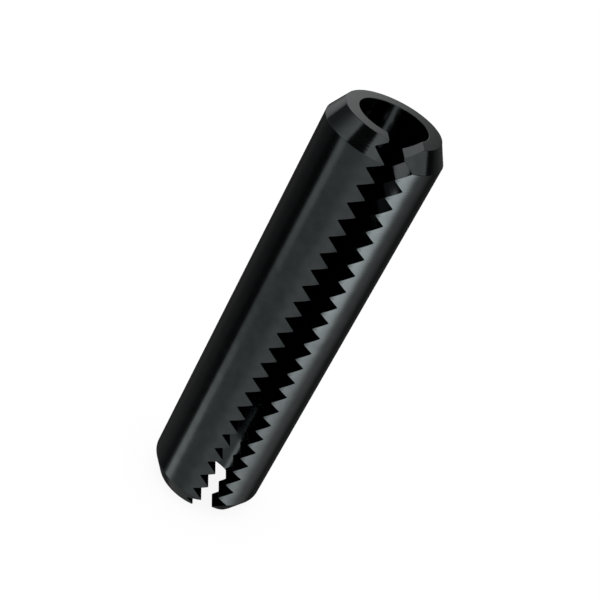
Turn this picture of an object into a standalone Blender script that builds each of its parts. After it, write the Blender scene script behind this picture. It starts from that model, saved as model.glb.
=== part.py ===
"""Slotted spring pin with a toothed slot, the 12 mm by 50 mm size, at its free diameter.

The pin is one piece: a thick strip of spring steel rolled into a tube that is left open along a zigzag
slot. It stands on one end face, with +Z along its axis, the origin at the middle of that face and the slot
towards -Y. Lengths are in metres.
"""
import math

import bmesh
import bpy
from mathutils import Matrix, Vector

MM = 0.001

# The tube. Pins of the 50 mm size are cut to within 0.5 mm of it
LENGTH = 49.5 * MM
OUTER_DIAMETER = 12.8 * MM
WALL = 2.65 * MM

# The tapered lead-in at each end, which guides the pin into its hole
CHAMFER_LENGTH = 2.05 * MM
CHAMFER_DEPTH = 1.2 * MM

# The slot: both edges carry the same row of teeth, so the gap keeps one width and two pins can't nest.
# Whole teeth fill the length, so their real pitch is the nearest to this one that does
SLOT_WIDTH = 2.97 * MM
TOOTH_PITCH = 2.07 * MM
TOOTH_DEPTH = 1.46 * MM
TOOTH_CORNER_RADIUS = 0.1 * MM
END_RELIEF = 0.38 * MM

# How finely the shapes are divided: a flank's middle lies a quarter of a pitch above the tooth's start
SEGMENTS_AROUND = 96
SEGMENTS_PER_CORNER = 3
TEETH_BETWEEN_RINGS = 4
MID_FLANK = 0.25

# The slot's cutter runs this far past the tube
CUTTER_MARGIN = 1.0 * MM

# A triangle thinner than this is turned into a wider one, in at most so many rounds
SLIVER_WIDTH = 0.0003 * MM
SLIVER_ROUNDS = 8

# Edges that turn more than this stay crisp
SHARP_ANGLE = math.radians(25.0)

BLACKENED_STEEL_COLOUR = (0.045, 0.048, 0.050, 1.0)
BLACKENED_STEEL_ROUGHNESS = 0.32
BLACKENED_STEEL_METALLIC = 0.9


def clear_scene():
    """Removes what the open file holds, so that the script can be run again."""
    for item in list(bpy.data.objects):
        bpy.data.objects.remove(item, do_unlink=True)


def blackened_steel():
    """Hardened spring steel with a black oxide finish."""
    material = bpy.data.materials.new("blackened_spring_steel")
    material.use_nodes = True
    shader = material.node_tree.nodes["Principled BSDF"]
    shader.inputs["Base Color"].default_value = BLACKENED_STEEL_COLOUR
    shader.inputs["Roughness"].default_value = BLACKENED_STEEL_ROUGHNESS
    shader.inputs["Metallic"].default_value = BLACKENED_STEEL_METALLIC
    material.diffuse_color = BLACKENED_STEEL_COLOUR
    return material


def add_object(name, shape):
    """Turns a bmesh into an object of the scene."""
    mesh = bpy.data.meshes.new(name)
    bmesh.ops.recalc_face_normals(shape, faces=shape.faces)
    shape.to_mesh(mesh)
    shape.free()
    item = bpy.data.objects.new(name, mesh)
    bpy.context.scene.collection.objects.link(item)
    return item


def tooth_count():
    """A whole number of teeth fills the length."""
    return max(1, round(LENGTH / TOOTH_PITCH))


def ring_heights():
    """Heights of rings round the tube, a few teeth apart and each half-way up a flank.

    They divide the tube's long sides, so that the cut leaves no fans of thin triangles there.
    """
    pitch = LENGTH / tooth_count()
    heights = [(tooth + MID_FLANK) * pitch for tooth in range(0, tooth_count(), TEETH_BETWEEN_RINGS)]
    return [height for height in heights if CHAMFER_LENGTH < height < LENGTH - CHAMFER_LENGTH]


def wall_section():
    """Half of the tube's section as (radius, height) points, from the bore's top edge over the outside."""
    outer_radius = OUTER_DIAMETER / 2
    bore_radius = outer_radius - WALL
    end_radius = outer_radius - CHAMFER_DEPTH
    rings = ring_heights()
    return [
        (bore_radius, LENGTH),
        (end_radius, LENGTH),
        (outer_radius, LENGTH - CHAMFER_LENGTH),
        *[(outer_radius, height) for height in rings[::-1]],
        (outer_radius, CHAMFER_LENGTH),
        (end_radius, 0.0),
        (bore_radius, 0.0),
        *[(bore_radius, height) for height in rings],
    ]


def tube(name):
    """The closed tube before it is slotted: the wall's section turned once round the Z axis."""
    shape = bmesh.new()
    corners = [shape.verts.new((radius, 0.0, height)) for radius, height in wall_section()]
    edges = [shape.edges.new(pair) for pair in zip(corners, corners[1:] + corners[:1])]
    bmesh.ops.spin(
        shape,
        geom=corners + edges,
        cent=(0.0, 0.0, 0.0),
        axis=(0.0, 0.0, 1.0),
        angle=math.tau,
        steps=SEGMENTS_AROUND,
        use_merge=True,
    )
    return add_object(name, shape)


def round_corner(before, corner, after, radius):
    """Points of the arc that takes a sharp corner's place, from the side of before to the side of after."""
    towards_before = (before - corner).normalized()
    towards_after = (after - corner).normalized()
    half_angle = towards_before.angle(towards_after) / 2
    setback = radius / math.tan(half_angle)
    bisector = (towards_before + towards_after).normalized()
    centre = corner + bisector * (radius / math.sin(half_angle))
    start = corner + towards_before * setback - centre
    sweep = start.angle_signed(corner + towards_after * setback - centre)
    steps = [sweep * step / SEGMENTS_PER_CORNER for step in range(SEGMENTS_PER_CORNER + 1)]
    return [centre + Matrix.Rotation(-turn, 2) @ start for turn in steps]


def rounded(line):
    """The same open line of points with every corner but its two ends rounded."""
    points = [line[0]]
    for before, corner, after in zip(line, line[1:], line[2:]):
        points += round_corner(before, corner, after, TOOTH_CORNER_RADIUS)
    return points + [line[-1]]


def slot_edges():
    """The slot's two edges as seen from the front, as lines of (x, z) points from below the pin to above it.

    The slot's middle swings to the right at both end faces and at every whole tooth, and to the left
    half-way between them, so a tip on one edge faces a root on the other.
    """
    teeth = tooth_count()
    half_pitch = LENGTH / teeth / 2
    half_width = SLOT_WIDTH / 2
    swing = TOOTH_DEPTH / 2

    # At an end face the left edge's half tooth is cut back, and the right edge's root is opened
    left_end = swing - half_width - END_RELIEF
    right_end = swing + half_width + END_RELIEF
    cut_back = END_RELIEF / TOOTH_DEPTH * half_pitch

    left = [Vector((left_end, -CUTTER_MARGIN)), Vector((left_end, cut_back))]
    right = [Vector((right_end, -CUTTER_MARGIN)), Vector((right_end, 0.0))]
    for step in range(1, 2 * teeth):
        middle = -swing if step % 2 else swing
        left.append(Vector((middle - half_width, step * half_pitch)))
        right.append(Vector((middle + half_width, step * half_pitch)))
    left += [Vector((left_end, LENGTH - cut_back)), Vector((left_end, LENGTH + CUTTER_MARGIN))]
    right += [Vector((right_end, LENGTH)), Vector((right_end, LENGTH + CUTTER_MARGIN))]
    return rounded(left), rounded(right)


def slot_cutter(name):
    """The slot's outline pushed straight through the front wall to the bore, so its flanks are parallel."""
    left, right = slot_edges()
    front = -OUTER_DIAMETER / 2 - CUTTER_MARGIN
    shape = bmesh.new()
    outline = [shape.verts.new((point.x, front, point.y)) for point in left + right[::-1]]
    face = shape.faces.new(outline)
    pushed = bmesh.ops.extrude_face_region(shape, geom=[face])["geom"]
    moved = [item for item in pushed if isinstance(item, bmesh.types.BMVert)]
    bmesh.ops.translate(shape, verts=moved, vec=(0.0, -front, 0.0))
    cutter = add_object(name, shape)
    cutter.display_type = "WIRE"
    cutter.hide_render = True
    return cutter


def slot(item, cutter):
    """Cuts the slot and keeps the cut mesh on the object, without the modifier."""
    cut = item.modifiers.new("toothed_slot", "BOOLEAN")
    cut.operation = "DIFFERENCE"
    cut.solver = "EXACT"
    cut.object = cutter
    evaluated = item.evaluated_get(bpy.context.evaluated_depsgraph_get())
    item.data = bpy.data.meshes.new_from_object(evaluated)
    item.data.name = item.name
    item.modifiers.clear()


def sliver_edges(shape):
    """The longest edge of each triangle that is thinner than a sliver."""
    edges = set()
    for face in shape.faces:
        longest = max(face.edges, key=bmesh.types.BMEdge.calc_length)
        if 2 * face.calc_area() < longest.calc_length() * SLIVER_WIDTH:
            edges.add(longest)
    return edges


def clean_facets(mesh):
    """Divides the mesh into triangles with none so thin that a file with rounded positions would lose it.

    The cut leaves rows of points along straight edges. A triangle that spans three of them has no width, and
    turning its long edge to the middle one of the three gives its place to the triangle behind that edge.
    """
    shape = bmesh.new()
    shape.from_mesh(mesh)
    bmesh.ops.remove_doubles(shape, verts=shape.verts, dist=SLIVER_WIDTH)
    bmesh.ops.triangulate(shape, faces=shape.faces, quad_method="BEAUTY", ngon_method="BEAUTY")
    for _ in range(SLIVER_ROUNDS):
        for edge in sliver_edges(shape):
            if edge.is_valid:
                bmesh.utils.edge_rotate(edge)
    shape.to_mesh(mesh)
    shape.free()


def main():
    clear_scene()
    pin = tube("spring_pin")
    slot(pin, slot_cutter("slot_cutter"))
    clean_facets(pin.data)
    pin.data.shade_smooth()
    pin.data.set_sharp_from_angle(angle=SHARP_ANGLE)
    pin.data.materials.clear()
    pin.data.materials.append(blackened_steel())


main()
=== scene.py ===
"""Dresses the slotted spring pin: a fine mesh with broken edges, its blackened steel, and a studio.

The file is laid out as an add-on, and run as a script it builds everything once. Lengths are in metres.
The pin stands on its end, with +Z along its axis and the slot towards -Y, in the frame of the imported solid.
"""

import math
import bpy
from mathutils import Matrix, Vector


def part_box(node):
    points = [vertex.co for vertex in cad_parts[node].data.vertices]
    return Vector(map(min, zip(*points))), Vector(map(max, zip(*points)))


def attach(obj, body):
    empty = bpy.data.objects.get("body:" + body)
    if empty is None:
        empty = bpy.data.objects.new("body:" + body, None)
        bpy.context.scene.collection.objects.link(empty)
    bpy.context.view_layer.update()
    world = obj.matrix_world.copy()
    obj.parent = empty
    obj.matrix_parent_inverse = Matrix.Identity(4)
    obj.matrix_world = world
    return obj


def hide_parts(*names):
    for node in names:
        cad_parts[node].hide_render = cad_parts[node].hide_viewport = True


bl_info = {
    "name": "Slotted Spring Pin",
    "version": (1, 0, 0),
    "blender": (4, 5, 0),
    "location": "3D View > Sidebar > Spring Pin",
    "description": "Builds a spring pin with a toothed slot, its blackened steel and a plain studio",
    "category": "Add Mesh",
}

from bisect import bisect_right
from typing import NamedTuple

import bpy
from bpy.props import FloatProperty, FloatVectorProperty, IntProperty, PointerProperty
from mathutils import Matrix, Vector

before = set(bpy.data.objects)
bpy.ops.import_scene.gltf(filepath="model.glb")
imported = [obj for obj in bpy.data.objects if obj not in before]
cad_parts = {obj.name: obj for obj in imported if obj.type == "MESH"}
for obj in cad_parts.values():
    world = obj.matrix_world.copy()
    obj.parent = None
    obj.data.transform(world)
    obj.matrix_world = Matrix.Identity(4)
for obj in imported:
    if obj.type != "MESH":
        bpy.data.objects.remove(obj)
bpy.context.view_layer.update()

PIN_LOW, PIN_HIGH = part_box("spring_pin")

MM = 0.001
WHITE = (1.0, 1.0, 1.0, 1.0)

# Columns of the mesh keep to fixed angles from here on round the back, and follow the teeth before it
STRAIGHT_FROM = math.radians(50.0)

# Heights closer than this are one row of the mesh
SAME_HEIGHT = 0.002 * MM

# The mesh's materials, by their place in its list
ROLLED = 0
SHEARED = 1

# Sockets of the Mix node in its colour mode, where several share a name
MIX_FIRST_COLOUR = 6
MIX_SECOND_COLOUR = 7
MIXED_COLOUR = 2

# The usual lowest and highest sum of two noise textures, each of which stays near 0.5
NOISE_SUM_LOW = 0.7
NOISE_SUM_HIGH = 1.3

# The camera sees nothing nearer than this
NEAREST_SEEN = 1 * MM

# Half a turn in degrees, in which the studio's directions are given
HALF_TURN = 180.0


def srgb(code):
    """A colour given as #rrggbb, as the linear numbers that shaders take."""
    parts = [int(code[start:start + 2], 16) / 255 for start in (1, 3, 5)]
    return tuple(part / 12.92 if part <= 0.04045 else ((part + 0.055) / 1.055) ** 2.4 for part in parts)


def length(name, description, default):
    """A size in metres."""
    return FloatProperty(
        name=name, description=description, default=default, min=0.0, precision=5, unit="LENGTH"
    )


def angle(name, description, degrees):
    """An angle, written in degrees and kept in radians."""
    return FloatProperty(
        name=name, description=description, default=math.radians(degrees), subtype="ANGLE"
    )


def colour(name, description, code):
    """A colour of the studio or of a finish, written as sRGB."""
    return FloatVectorProperty(
        name=name, description=description, default=srgb(code), subtype="COLOR", min=0.0, max=1.0
    )


def share(name, description, default):
    """A number from 0 to 1."""
    return FloatProperty(
        name=name, description=description, default=default, min=0.0, max=1.0, subtype="FACTOR"
    )


def count(name, description, default, least):
    """How many columns or rows a stretch of the mesh has."""
    return IntProperty(name=name, description=description, default=default, min=least)


class SPRINGPIN_PG_sizes(bpy.types.PropertyGroup):
    """Real sizes of the pin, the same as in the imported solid, and broken edges that only this mesh has."""

    pin_length: length("Length", "From end face to end face", PIN_HIGH.z - PIN_LOW.z)
    outer_diameter: length("Diameter", "Outside, when the pin is free", PIN_HIGH.x - PIN_LOW.x)
    wall: length("Wall", "Thickness of the rolled strip", 2.65 * MM)
    taper_length: length("Taper length", "Along the axis, at each end", 2.05 * MM)
    taper_depth: length("Taper depth", "From the outside to the end face's edge", 1.2 * MM)
    slot_width: length("Slot width", "From edge to edge, straight across", 2.97 * MM)
    tooth_pitch: length("Tooth pitch", "From tip to tip, before whole teeth fill the length", 2.07 * MM)
    tooth_depth: length("Tooth depth", "From root to tip", 1.46 * MM)
    tooth_corner: length("Tooth corner", "Radius of tips and roots", 0.1 * MM)
    end_relief: length("End relief", "How far each side of the slot is opened at an end face", 0.38 * MM)
    sheared_edge: length("Sheared edge", "Break of the edges along the slot", 0.04 * MM)
    rim_radius: length("Rim radius", "Rounding of the end faces' edges", 0.05 * MM)
    shoulder_radius: length("Shoulder radius", "Rounding where a taper meets the outside", 0.1 * MM)


class SPRINGPIN_PG_mesh(bpy.types.PropertyGroup):
    """How finely the pin is divided."""

    columns_behind: count("Columns behind", "Round the back of the pin", 84, 12)
    columns_beside: count("Columns beside", "On each side of the slot", 12, 2)
    columns_flank: count("Columns on a flank", "Through the wall", 5, 1)
    rows_corner: count("Rows on a corner", "Over a tooth's tip or root", 4, 2)
    rows_flank: count("Rows on a flank", "From tip to root", 3, 1)
    rows_rim: count("Rows on a rim", "Over an end face's rounded edge", 4, 2)
    rows_shoulder: count("Rows on a shoulder", "Over the rounding where a taper meets the outside", 2, 1)
    steps_edge: count("Steps on an edge", "Over a broken edge of the slot", 3, 2)


class SPRINGPIN_PG_finish(bpy.types.PropertyGroup):
    """Colours and textures of the blackened steel."""

    thick_oxide: colour("Thick oxide", "Mirrored straight back where the oxide layer is thick", "#313536")
    thin_oxide: colour("Thin oxide", "Mirrored straight back where the layer is thin", "#444849")
    patch: length("Patch", "Width of the layer's faint cloudy patches", 1.2 * MM)
    roughness: share("Roughness", "Of the rolled and turned faces", 0.13)
    roughness_spread: share("Roughness spread", "Share by which grain and patches change it", 0.15)
    grain: length("Grain", "Width of the grains, drawn coarser than real so that they show", 0.12 * MM)
    grain_depth: length("Grain depth", "Height of the grains", 0.0004 * MM)
    sheared_roughness: share("Sheared roughness", "Of the cut faces", 0.14)
    score_width: length("Score width", "Width of the score lines that the cutting tool leaves", 0.08 * MM)
    score_length: length("Score length", "How far a score line runs through the wall", 2.0 * MM)
    score_depth: length("Score depth", "Depth of the score lines", 0.0003 * MM)


class SPRINGPIN_PG_studio(bpy.types.PropertyGroup):
    """The floor, the lights and the camera."""

    backdrop: colour("Backdrop", "The floor and what is behind it", "#ffffff")
    floor_size: length("Floor size", "Side of the square floor", 6.0)
    floor_glow: share("Floor glow", "Share of the floor's brightness that no shadow takes away", 0.9)
    key_power: FloatProperty(
        name="Key power", description="Power of the lamp overhead", default=1.2, unit="POWER"
    )
    key_size: length("Key size", "Side of the square lamp overhead", 0.5)
    key_height: length("Key height", "How far the lamp hangs above the floor", 0.7)
    ambient: FloatProperty(
        name="Ambient", description="Brightness of the room on dull surfaces", default=1.0, min=0.0
    )
    focal_length: FloatProperty(
        name="Focal length", description="Of the camera, in mm", default=77.5, unit="CAMERA"
    )
    sensor_width: FloatProperty(
        name="Sensor width", description="Of the camera, in mm", default=36.0, unit="CAMERA"
    )
    azimuth: angle("Azimuth", "Camera's direction from the pin, from -Y towards +X", -17.98)
    elevation: angle("Elevation", "Camera's height above the horizon", 29.6)
    roll: angle("Roll", "Turn about the line of sight, which lays the pin over in the picture", 28.42)
    distance: length("Distance", "From the camera to the pin's axis", 136.1 * MM)
    aim_height: length("Aim height", "Where the line of sight passes the pin's axis", 26.85 * MM)
    aim_aside: FloatProperty(
        name="Aim aside", description="How far it passes beside it", default=0.26 * MM, unit="LENGTH"
    )


class Arc(NamedTuple):
    """A rounded corner: the heights it spans, its circle, and 1 or -1 for the side it bulges to."""

    low: float
    high: float
    centre: Vector
    radius: float
    side: float


class RoundedLine:
    """An open line of (across, height) points that climbs steadily, with an arc for each inner corner."""

    def __init__(self, points, radius):
        self.points = [Vector(point) for point in points]
        self.arcs = [None]
        for before, corner, after in zip(self.points, self.points[1:], self.points[2:]):
            down = (before - corner).normalized()
            up = (after - corner).normalized()
            half_angle = down.angle(up) / 2
            setback = radius / math.tan(half_angle)
            centre = corner + (down + up).normalized() * (radius / math.sin(half_angle))
            side = math.copysign(1.0, corner.x - centre.x)
            low, high = corner.y + down.y * setback, corner.y + up.y * setback
            self.arcs.append(Arc(low, high, centre, radius, side))
        self.arcs.append(None)

    def across(self, height):
        """How far across the line lies at a height."""
        passed = bisect_right([point.y for point in self.points], height)
        above = min(max(passed, 1), len(self.points) - 1)
        for arc in (self.arcs[above - 1], self.arcs[above]):
            if arc and arc.low <= height <= arc.high:
                reach = math.sqrt(max(arc.radius ** 2 - (height - arc.centre.y) ** 2, 0.0))
                return arc.centre.x + arc.side * reach
        low, high = self.points[above - 1], self.points[above]
        return low.x + (high.x - low.x) * (height - low.y) / (high.y - low.y)

    def heights(self, arc_steps, straight_steps):
        """Heights at which a mesh needs rows: over each arc, and on the straight stretches between them."""
        arcs = [arc for arc in self.arcs if arc]
        rows = []
        for arc in arcs:
            rows += [arc.low + (arc.high - arc.low) * step / arc_steps for step in range(arc_steps + 1)]
        for below, above in zip(arcs, arcs[1:]):
            gap = above.low - below.high
            rows += [below.high + gap * step / straight_steps for step in range(1, straight_steps)]
        return rows


class PinShape:
    """The pin's surface as sections: at each height a C whose ends are the two sides of the slot."""

    def __init__(self, sizes, mesh):
        self.sizes = sizes
        self.mesh = mesh
        self.outer = sizes.outer_diameter / 2
        self.bore = self.outer - sizes.wall
        self.left = RoundedLine(self.slot_edge(-1), sizes.tooth_corner)
        self.right = RoundedLine(self.slot_edge(1), sizes.tooth_corner)
        end = self.outer - sizes.taper_depth
        top = sizes.pin_length
        taper = sizes.taper_length
        self.profile = RoundedLine(
            [(end, 0.0), (self.outer, taper), (self.outer, top - taper), (end, top)], sizes.shoulder_radius
        )

    def slot_edge(self, side):
        """Corners of one edge of the slot, seen from the front: side is -1 on the left and 1 on the right.

        The slot's middle swings to the right at both end faces and at every whole tooth, and to the left
        half-way between them. At an end face the left edge's half tooth is cut back, and the right edge's
        root is opened.
        """
        sizes = self.sizes
        teeth = max(1, round(sizes.pin_length / sizes.tooth_pitch))
        half_pitch = sizes.pin_length / teeth / 2
        swing = sizes.tooth_depth / 2
        half_width = sizes.slot_width / 2
        end = swing + side * (half_width + sizes.end_relief)
        cut_back = sizes.end_relief / sizes.tooth_depth * half_pitch if side < 0 else 0.0
        corners = [(end, cut_back - half_pitch), (end, cut_back)]
        for step in range(1, 2 * teeth):
            middle = -swing if step % 2 else swing
            corners.append((middle + side * half_width, step * half_pitch))
        top = sizes.pin_length - cut_back
        return corners + [(end, top), (end, top + half_pitch)]

    def row_heights(self):
        """Heights of all rows, from the bottom face to the top one."""
        mesh, rim, top = self.mesh, self.sizes.rim_radius, self.sizes.pin_length
        rows = self.left.heights(mesh.rows_corner, mesh.rows_flank)
        rows += self.right.heights(mesh.rows_corner, mesh.rows_flank)
        rows += self.profile.heights(mesh.rows_shoulder, 1)
        turns = [math.pi / 2 * step / mesh.rows_rim for step in range(mesh.rows_rim + 1)]
        drops = [rim * (1 - math.sin(turn)) for turn in turns]
        rows = drops + [row for row in rows if rim < row < top - rim] + [top - drop for drop in drops]
        kept = []
        for row in sorted(rows):
            if not kept or row - kept[-1] > SAME_HEIGHT:
                kept.append(row)
        return kept

    def rim_setback(self, height):
        """How far the rounded rims draw the bore and the slot's sides back at a height."""
        rim = self.sizes.rim_radius
        drop = min(height, self.sizes.pin_length - height)
        return rim - math.sqrt(rim ** 2 - (rim - drop) ** 2) if drop < rim else 0.0

    def outer_radius(self, height):
        """Radius of the outside, with the taper's edge rounded where it meets the end face."""
        sizes = self.sizes
        rim = sizes.rim_radius
        slope = math.atan2(sizes.taper_depth, sizes.taper_length)
        drop = min(height, sizes.pin_length - height)
        touch = rim * (1 - math.sin(slope))
        if drop >= touch:
            return self.profile.across(height)
        centre = self.outer - sizes.taper_depth + touch * math.tan(slope) - rim * math.cos(slope)
        return centre + math.sqrt(rim ** 2 - (rim - drop) ** 2)

    def circle(self, radius, right, left, height, cut):
        """Points on a circle from the slot's right side round the back to its left side."""
        start = math.asin(right / radius) + cut / radius
        end = math.tau + math.asin(left / radius) - cut / radius
        beside, behind = self.mesh.columns_beside, self.mesh.columns_behind
        first, last = STRAIGHT_FROM, math.tau - STRAIGHT_FROM
        turns = [start + (first - start) * step / beside for step in range(beside)]
        turns += [first + (last - first) * step / behind for step in range(behind)]
        turns += [last + (end - last) * step / beside for step in range(beside + 1)]
        return [Vector((radius * math.sin(turn), -radius * math.cos(turn), height)) for turn in turns]

    def slot_side(self, across, outer, bore, height, cut, start, end):
        """Points along one side of the slot from the outside to the bore, between two broken edges."""
        corner_out = Vector((across, -math.sqrt(outer ** 2 - across ** 2), height))
        corner_in = Vector((across, -math.sqrt(bore ** 2 - across ** 2), height))
        first = corner_out + Vector((0.0, cut, 0.0))
        last = corner_in - Vector((0.0, cut, 0.0))
        columns, steps = self.mesh.columns_flank, self.mesh.steps_edge
        inner = [first.lerp(last, step / columns) for step in range(columns + 1)]
        broken_out = [bend(start, corner_out, first, step / steps) for step in range(1, steps)]
        broken_in = [bend(last, corner_in, end, step / steps) for step in range(1, steps)]
        return broken_out + inner + broken_in

    def section(self, height):
        """The closed C at a height, in order: outside, slot's left side, bore, slot's right side."""
        setback = self.rim_setback(height)
        outer, bore = self.outer_radius(height), self.bore + setback
        left, right = self.left.across(height) - setback, self.right.across(height) + setback
        cut = self.sizes.sheared_edge
        outside = self.circle(outer, right, left, height, cut)
        inside = self.circle(bore, right, left, height, cut)[::-1]
        left_side = self.slot_side(left, outer, bore, height, cut, outside[-1], inside[0])
        right_side = self.slot_side(right, outer, bore, height, cut, outside[0], inside[-1])[::-1]
        return outside, left_side, inside, right_side


def bend(start, corner, end, part):
    """A point on the curve that rounds a corner."""
    return start.lerp(corner, part).lerp(corner.lerp(end, part), part)


def slot_corners(arc_count, side_count):
    """The columns just before the slot's left side and just before its right side."""
    return arc_count - 1, 2 * arc_count + side_count - 1


def wall_faces(row_count, columns):
    """The faces between each row of points and the next, column by column."""
    faces = []
    for below in range(0, (row_count - 1) * columns, columns):
        above = below + columns
        for column in range(columns):
            beside = (column + 1) % columns
            faces.append((below + column, below + beside, above + beside, above + column))
    return faces


def end_faces(start, arc_count, side_count, columns):
    """The faces that close the top: strips over the wall, and one face at each side of the slot.

    The bottom has the same ones the other way round.
    """
    left_corner, right_corner = slot_corners(arc_count, side_count)
    faces = []
    for column in range(arc_count - 1):
        mate = right_corner - column
        faces.append([start + column, start + column + 1, start + mate - 1, start + mate])
    for corner in (left_corner, right_corner):
        faces.append([start + (corner + step) % columns for step in range(side_count + 2)])
    return faces


def pin_mesh(name, sizes, mesh_settings):
    """The pin as one closed mesh, with one material on its rolled and turned faces and one in the slot.

    The end faces are flat, and the broken edges along the slot end crisply, so that the faces beside them
    mirror the studio straight.
    """
    shape = PinShape(sizes, mesh_settings)
    sections = [shape.section(height) for height in shape.row_heights()]
    arc_count, side_count = len(sections[0][0]), len(sections[0][1])
    half = arc_count + side_count
    columns = 2 * half
    points = [point for section in sections for part in section for point in part]
    walls = wall_faces(len(sections), columns)
    bottom = [face[::-1] for face in end_faces(0, arc_count, side_count, columns)]
    top = end_faces(len(points) - columns, arc_count, side_count, columns)
    in_slot = [column % half >= arc_count - 1 for column in range(columns)] * (len(sections) - 1)
    flat_ends = len(bottom) + len(top)

    mesh = bpy.data.meshes.new(name)
    mesh.from_pydata(points, [], walls + bottom + top)
    materials = [SHEARED if sheared else ROLLED for sheared in in_slot] + [ROLLED] * flat_ends
    mesh.polygons.foreach_set("material_index", materials)
    mesh.polygons.foreach_set("use_smooth", [True] * len(walls) + [False] * flat_ends)

    crisp = set()
    steps = mesh_settings.steps_edge
    for corner in slot_corners(arc_count, side_count):
        far_corner = corner + side_count + 1
        crisp |= {corner, corner + steps, far_corner - steps, far_corner % columns}
    for edge in mesh.edges:
        low, high = (vertex % columns for vertex in edge.vertices)
        edge.use_edge_sharp = low == high and low in crisp
    return mesh


def add(tree, kind, inputs=(), **settings):
    """Adds a node with its settings, and its inputs as values or as the sockets that feed them."""
    node = tree.nodes.new(kind)
    for name, value in settings.items():
        setattr(node, name, value)
    for key, value in dict(inputs).items():
        if isinstance(value, bpy.types.NodeSocket):
            tree.links.new(value, node.inputs[key])
        else:
            node.inputs[key].default_value = value
    return node


def new_material(name, colour_value, metallic, roughness):
    """A material with plain values on its shader, and the tree and shader to build its textures on."""
    material = bpy.data.materials.new(name)
    material.use_nodes = True
    shader = material.node_tree.nodes["Principled BSDF"]
    shader.inputs["Base Color"].default_value = (*colour_value, 1.0)
    shader.inputs["Metallic"].default_value = metallic
    shader.inputs["Roughness"].default_value = roughness
    return material, material.node_tree, shader


def tint_oxide(tree, shader, thinness, finish):
    """Lets the oxide's colour run between its thick and its thin places."""
    tint = add(
        tree,
        "ShaderNodeMix",
        {
            "Factor": thinness,
            MIX_FIRST_COLOUR: (*finish.thick_oxide, 1.0),
            MIX_SECOND_COLOUR: (*finish.thin_oxide, 1.0),
        },
        data_type="RGBA",
    )
    tree.links.new(tint.outputs[MIXED_COLOUR], shader.inputs["Base Color"])


def black_oxide_rolled(finish):
    """Black oxide on cold-rolled spring steel.

    The eye sees soft dark mirror images, slightly broken by a fine grain and by faint cloudy patches.
    """
    material, tree, shader = new_material(
        "black_oxide_rolled_steel", finish.thick_oxide, metallic=1.0, roughness=finish.roughness
    )
    place = add(tree, "ShaderNodeTexCoord").outputs["Object"]
    patches = add(
        tree, "ShaderNodeTexNoise", {"Vector": place, "Scale": 1 / finish.patch, "Detail": 4.0}
    ).outputs["Fac"]
    tint_oxide(tree, shader, patches, finish)
    grain = add(
        tree, "ShaderNodeTexNoise", {"Vector": place, "Scale": 1 / finish.grain, "Detail": 3.0}
    ).outputs["Fac"]
    both = add(tree, "ShaderNodeMath", {0: grain, 1: patches}, operation="ADD").outputs[0]
    spread = add(
        tree,
        "ShaderNodeMapRange",
        {
            "Value": both,
            "From Min": NOISE_SUM_LOW,
            "From Max": NOISE_SUM_HIGH,
            "To Min": finish.roughness * (1 - finish.roughness_spread),
            "To Max": finish.roughness * (1 + finish.roughness_spread),
        },
    )
    tree.links.new(spread.outputs[0], shader.inputs["Roughness"])
    bump = add(tree, "ShaderNodeBump", {"Height": grain, "Distance": finish.grain_depth})
    tree.links.new(bump.outputs[0], shader.inputs["Normal"])
    return material


def black_oxide_sheared(finish):
    """Black oxide on sheared steel: the teeth's cut faces.

    The eye sees the same soft mirror, scored by fine lines that run straight through the wall.
    """
    material, tree, shader = new_material(
        "black_oxide_sheared_steel", finish.thick_oxide, metallic=1.0, roughness=finish.sheared_roughness
    )
    place = add(tree, "ShaderNodeTexCoord").outputs["Object"]
    stretch = (1.0, finish.score_width / finish.score_length, 1.0)
    along = add(tree, "ShaderNodeMapping", {"Vector": place, "Scale": stretch}).outputs[0]
    lines = add(
        tree, "ShaderNodeTexNoise", {"Vector": along, "Scale": 1 / finish.score_width, "Detail": 2.0}
    ).outputs["Fac"]
    tint_oxide(tree, shader, lines, finish)
    bump = add(tree, "ShaderNodeBump", {"Height": lines, "Distance": finish.score_depth})
    tree.links.new(bump.outputs[0], shader.inputs["Normal"])
    return material


def matt_white_paper(studio):
    """The floor's matt white paper, which the camera sees near full white, with only a faint shadow.

    The steel's mirror rays pass through it, because the steel shows the studio's panels and not a floor.
    """
    material, tree, shader = new_material(
        "matt_white_paper", studio.backdrop, metallic=0.0, roughness=1.0
    )
    shader.inputs["Specular IOR Level"].default_value = 0.0
    path = add(tree, "ShaderNodeLightPath")
    glow = add(tree, "ShaderNodeEmission", {"Color": (*studio.backdrop, 1.0), "Strength": 1.0})
    seen = add(
        tree, "ShaderNodeMixShader", {"Fac": studio.floor_glow, 1: shader.outputs[0], 2: glow.outputs[0]}
    )
    camera = add(
        tree,
        "ShaderNodeMixShader",
        {"Fac": path.outputs["Is Camera Ray"], 1: shader.outputs[0], 2: seen.outputs[0]},
    )
    clear = add(tree, "ShaderNodeBsdfTransparent")
    mirrored = add(
        tree,
        "ShaderNodeMixShader",
        {"Fac": path.outputs["Is Glossy Ray"], 1: camera.outputs[0], 2: clear.outputs[0]},
    )
    tree.links.new(mirrored.outputs[0], tree.nodes["Material Output"].inputs["Surface"])
    return material


class Panel(NamedTuple):
    """A soft-edged light that the steel mirrors, placed in degrees.

    Azimuth runs from -Y towards +X, and height from the horizon up. Each softness is the width over which
    that edge fades, and a softness of 0 leaves the edge open.
    """

    name: str
    azimuth: tuple
    softness_aside: tuple
    height: tuple
    softness_upwards: tuple
    brightness: float


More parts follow.
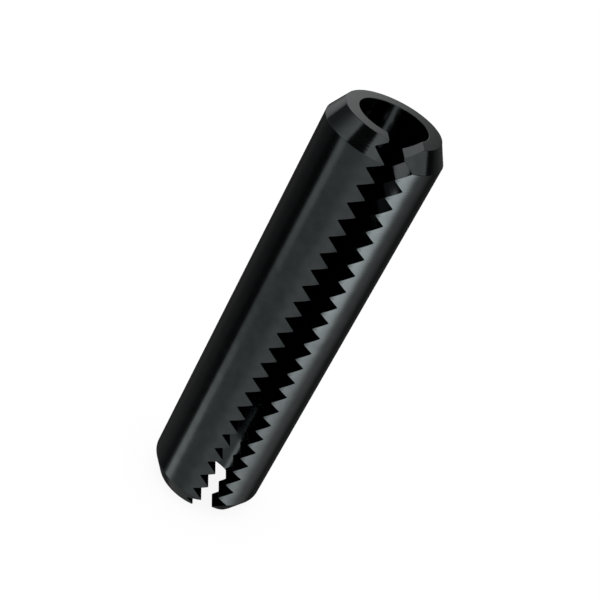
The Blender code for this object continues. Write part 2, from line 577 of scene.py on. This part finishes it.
PANELS = (
    Panel("front fill", (-91, 0), (6, 8), (-62, -2), (10, 8), 0.5),
    Panel("fill's lower bright end", (-91, -76), (4, 10), (-62, -34), (10, 6), 1.1),
    Panel("fill's lowest corner", (-97, -70), (5, 14), (-62, -38), (10, 5), 0.5),
    Panel("fill's upper bright end", (-88, -75), (4, 10), (-28, -2), (6, 8), 0.6),
    Panel("fill's right half", (-34, 0), (30, 8), (-62, -2), (10, 8), 0.35),
    Panel("right strip", (40, 62), (14, 44), (-50, -19), (10, 6), 2.4),
    Panel("right strip's upper part", (40, 68), (14, 16), (-31, -19), (6, 6), 2.1),
    Panel("right strip's falloff", (40, 82), (14, 60), (-50, -19), (10, 6), 1.1),
    Panel("right wall", (88, 110), (4, 16), (-70, -10), (10, 6), 0.06),
    Panel("right wall's upper part", (92, 140), (14, 16), (-12, 8), (6, 8), 0.065),
    Panel("back fill", (150, 168), (8, 8), (-20, -4), (8, 6), 1.1),
    Panel("left wall", (-160, -112), (20, 20), (-60, -6), (10, 8), 0.05),
    Panel("left wall's foot", (-140, -96), (20, 4), (-62, -34), (10, 10), 0.03),
    Panel("left wall's low panel", (-160, -108), (12, 6), (-15, -4), (6, 4), 0.9),
    Panel("floor", (-180, 180), (0, 0), (-90, -62), (0, 8), 0.14),
    Panel("rear panel", (162, 188), (10, 10), (-4, 42), (25, 10), 0.85),
    Panel("rear left panel", (188, 221), (10, 4), (19, 42), (4, 10), 0.85),
    Panel("rear left panel's foot", (188, 221), (10, 4), (-4, 8), (25, 3), 0.85),
    Panel("upper front left panel", (-150, -78), (20, 4), (10, 40), (6, 12), 0.14),
    Panel("upper left panel's bright side", (-98, -78), (60, 4), (10, 40), (6, 12), 1.25),
    Panel("upper front panel", (-37, 88), (3, 4), (12, 60), (6, 10), 0.95),
    Panel("upper front panel's bright side", (-37, -10), (3, 40), (12, 60), (6, 10), 0.35),
)

# What the steel mirrors of the room between the panels
ROOM_BRIGHTNESS = 0.035


def soft_span(tree, value, span, softness):
    """1 inside a span and 0 beyond it. Each end fades over its softness, or stays open where that is 0."""
    inside = 1.0
    for end, fade, (before, after) in zip(span, softness, ((0.0, 1.0), (1.0, 0.0))):
        if fade:
            edge = add(
                tree,
                "ShaderNodeMapRange",
                {
                    "Value": value,
                    "From Min": end - fade / 2,
                    "From Max": end + fade / 2,
                    "To Min": before,
                    "To Max": after,
                },
                interpolation_type="SMOOTHSTEP",
            )
            product = add(tree, "ShaderNodeMath", {0: inside, 1: edge.outputs[0]}, operation="MULTIPLY")
            inside = product.outputs[0]
    return inside


def studio_panels(tree):
    """The brightness of the studio in every direction, as one socket."""
    direction = add(tree, "ShaderNodeTexCoord").outputs["Generated"]
    x, y, z = add(tree, "ShaderNodeSeparateXYZ", {0: direction}).outputs
    minus_y = add(tree, "ShaderNodeMath", {0: y, 1: -1.0}, operation="MULTIPLY").outputs[0]
    turn = add(tree, "ShaderNodeMath", {0: x, 1: minus_y}, operation="ARCTAN2").outputs[0]
    azimuth = add(tree, "ShaderNodeMath", {0: turn}, operation="DEGREES").outputs[0]
    climb = add(tree, "ShaderNodeMath", {0: z}, operation="ARCSINE").outputs[0]
    elevation = add(tree, "ShaderNodeMath", {0: climb}, operation="DEGREES").outputs[0]
    total = ROOM_BRIGHTNESS
    for panel in PANELS:
        middle = sum(panel.azimuth) / 2
        half_width = panel.azimuth[1] - middle
        offset = add(tree, "ShaderNodeMath", {0: azimuth, 1: middle}, operation="SUBTRACT").outputs[0]
        aside = add(tree, "ShaderNodeMath", {0: offset, 1: HALF_TURN, 2: -HALF_TURN}, operation="WRAP")
        across = soft_span(tree, aside.outputs[0], (-half_width, half_width), panel.softness_aside)
        upwards = soft_span(tree, elevation, panel.height, panel.softness_upwards)
        lit = add(tree, "ShaderNodeMath", {0: across, 1: upwards}, operation="MULTIPLY").outputs[0]
        total = add(
            tree,
            "ShaderNodeMath",
            {0: lit, 1: panel.brightness, 2: total},
            operation="MULTIPLY_ADD",
            label=panel.name,
        ).outputs[0]
    return total


def studio_world(studio):
    """White for the camera, even light for dull surfaces, and the panels for the steel."""
    world = bpy.data.worlds.new("studio")
    world.use_nodes = True
    tree = world.node_tree
    tree.nodes.clear()
    path = add(tree, "ShaderNodeLightPath")
    room = add(tree, "ShaderNodeBackground", {"Color": WHITE, "Strength": studio.ambient})
    panels = add(tree, "ShaderNodeBackground", {"Color": WHITE, "Strength": studio_panels(tree)})
    backdrop = add(tree, "ShaderNodeBackground", {"Color": (*studio.backdrop, 1.0), "Strength": 1.0})
    lit = add(
        tree,
        "ShaderNodeMixShader",
        {"Fac": path.outputs["Is Glossy Ray"], 1: room.outputs[0], 2: panels.outputs[0]},
    )
    seen = add(
        tree,
        "ShaderNodeMixShader",
        {"Fac": path.outputs["Is Camera Ray"], 1: lit.outputs[0], 2: backdrop.outputs[0]},
    )
    add(tree, "ShaderNodeOutputWorld", {"Surface": seen.outputs[0]})

    # Rays that leave the scene find the world by themselves, so it isn't sampled as a lamp
    world.cycles.sampling_method = "NONE"
    return world


def add_camera(studio):
    """The camera at the photograph's viewing angle, rolled so that the standing pin lies to the right."""
    data = bpy.data.cameras.new("camera")
    data.lens = studio.focal_length
    data.sensor_width = studio.sensor_width
    data.clip_start = NEAREST_SEEN
    camera = bpy.data.objects.new("camera", data)
    turn, climb = studio.azimuth, studio.elevation
    back = Vector((math.sin(turn) * math.cos(climb), -math.cos(turn) * math.cos(climb), math.sin(climb)))
    aside = Vector((math.cos(turn), math.sin(turn), 0.0))
    aim = aside * studio.aim_aside + Vector((0.0, 0.0, studio.aim_height))
    turned = (-back).to_track_quat("-Z", "Y").to_matrix() @ Matrix.Rotation(studio.roll, 3, "Z")
    camera.matrix_world = Matrix.LocRotScale(aim + back * studio.distance, turned, None)
    bpy.context.scene.collection.objects.link(camera)
    bpy.context.scene.camera = camera


class SPRINGPIN_OT_pin(bpy.types.Operator):
    """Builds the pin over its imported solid"""

    bl_idname = "spring_pin.build_pin"
    bl_label = "Build Pin"

    def execute(self, context):
        scene = context.scene
        mesh = pin_mesh("spring_pin_visual", scene.pin_sizes, scene.pin_mesh)
        mesh.materials.append(black_oxide_rolled(scene.pin_finish))
        mesh.materials.append(black_oxide_sheared(scene.pin_finish))
        pin = bpy.data.objects.new("spring_pin_visual", mesh)
        scene.collection.objects.link(pin)
        weigh = pin.modifiers.new("even_normals", "WEIGHTED_NORMAL")
        weigh.keep_sharp = True
        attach(pin, "root")
        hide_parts("spring_pin")
        return {"FINISHED"}


class SPRINGPIN_OT_stage(bpy.types.Operator):
    """Builds the floor, the lights and the camera"""

    bl_idname = "spring_pin.build_stage"
    bl_label = "Build Stage"

    def execute(self, context):
        scene, studio = context.scene, context.scene.pin_studio
        half = studio.floor_size / 2
        mesh = bpy.data.meshes.new("floor")
        corners = [(-half, -half, 0.0), (half, -half, 0.0), (half, half, 0.0), (-half, half, 0.0)]
        mesh.from_pydata(corners, [], [(0, 1, 2, 3)])
        mesh.materials.append(matt_white_paper(studio))
        floor = bpy.data.objects.new("floor", mesh)
        scene.collection.objects.link(floor)

        lamp = bpy.data.lights.new("key", "AREA")
        lamp.energy = studio.key_power
        lamp.size = studio.key_size
        key = bpy.data.objects.new("key", lamp)
        key.location = (0.0, 0.0, studio.key_height)
        scene.collection.objects.link(key)

        scene.world = studio_world(studio)
        add_camera(studio)
        scene.view_settings.view_transform = "Standard"
        return {"FINISHED"}


class SPRINGPIN_PT_panel(bpy.types.Panel):
    """Lists the operators in the sidebar"""

    bl_idname = "SPRINGPIN_PT_panel"
    bl_label = "Spring Pin"
    bl_space_type = "VIEW_3D"
    bl_region_type = "UI"
    bl_category = "Spring Pin"

    def draw(self, context):
        for operator in OPERATORS:
            self.layout.operator(operator.bl_idname)


GROUPS = {
    "pin_sizes": SPRINGPIN_PG_sizes,
    "pin_mesh": SPRINGPIN_PG_mesh,
    "pin_finish": SPRINGPIN_PG_finish,
    "pin_studio": SPRINGPIN_PG_studio,
}
OPERATORS = (SPRINGPIN_OT_pin, SPRINGPIN_OT_stage)
CLASSES = (*GROUPS.values(), *OPERATORS, SPRINGPIN_PT_panel)


def register():
    """Adds the settings to the scene, and the operators and their panel to Blender."""
    for item in CLASSES:
        bpy.utils.register_class(item)
    for name, group in GROUPS.items():
        setattr(bpy.types.Scene, name, PointerProperty(type=group))


def unregister():
    """Takes away what register adds, in reverse."""
    for name in GROUPS:
        delattr(bpy.types.Scene, name)
    for item in reversed(CLASSES):
        bpy.utils.unregister_class(item)


def main():
    """Builds the pin and its stage."""
    register()
    bpy.ops.spring_pin.build_pin()
    bpy.ops.spring_pin.build_stage()


if __name__ == "__main__":
    main()
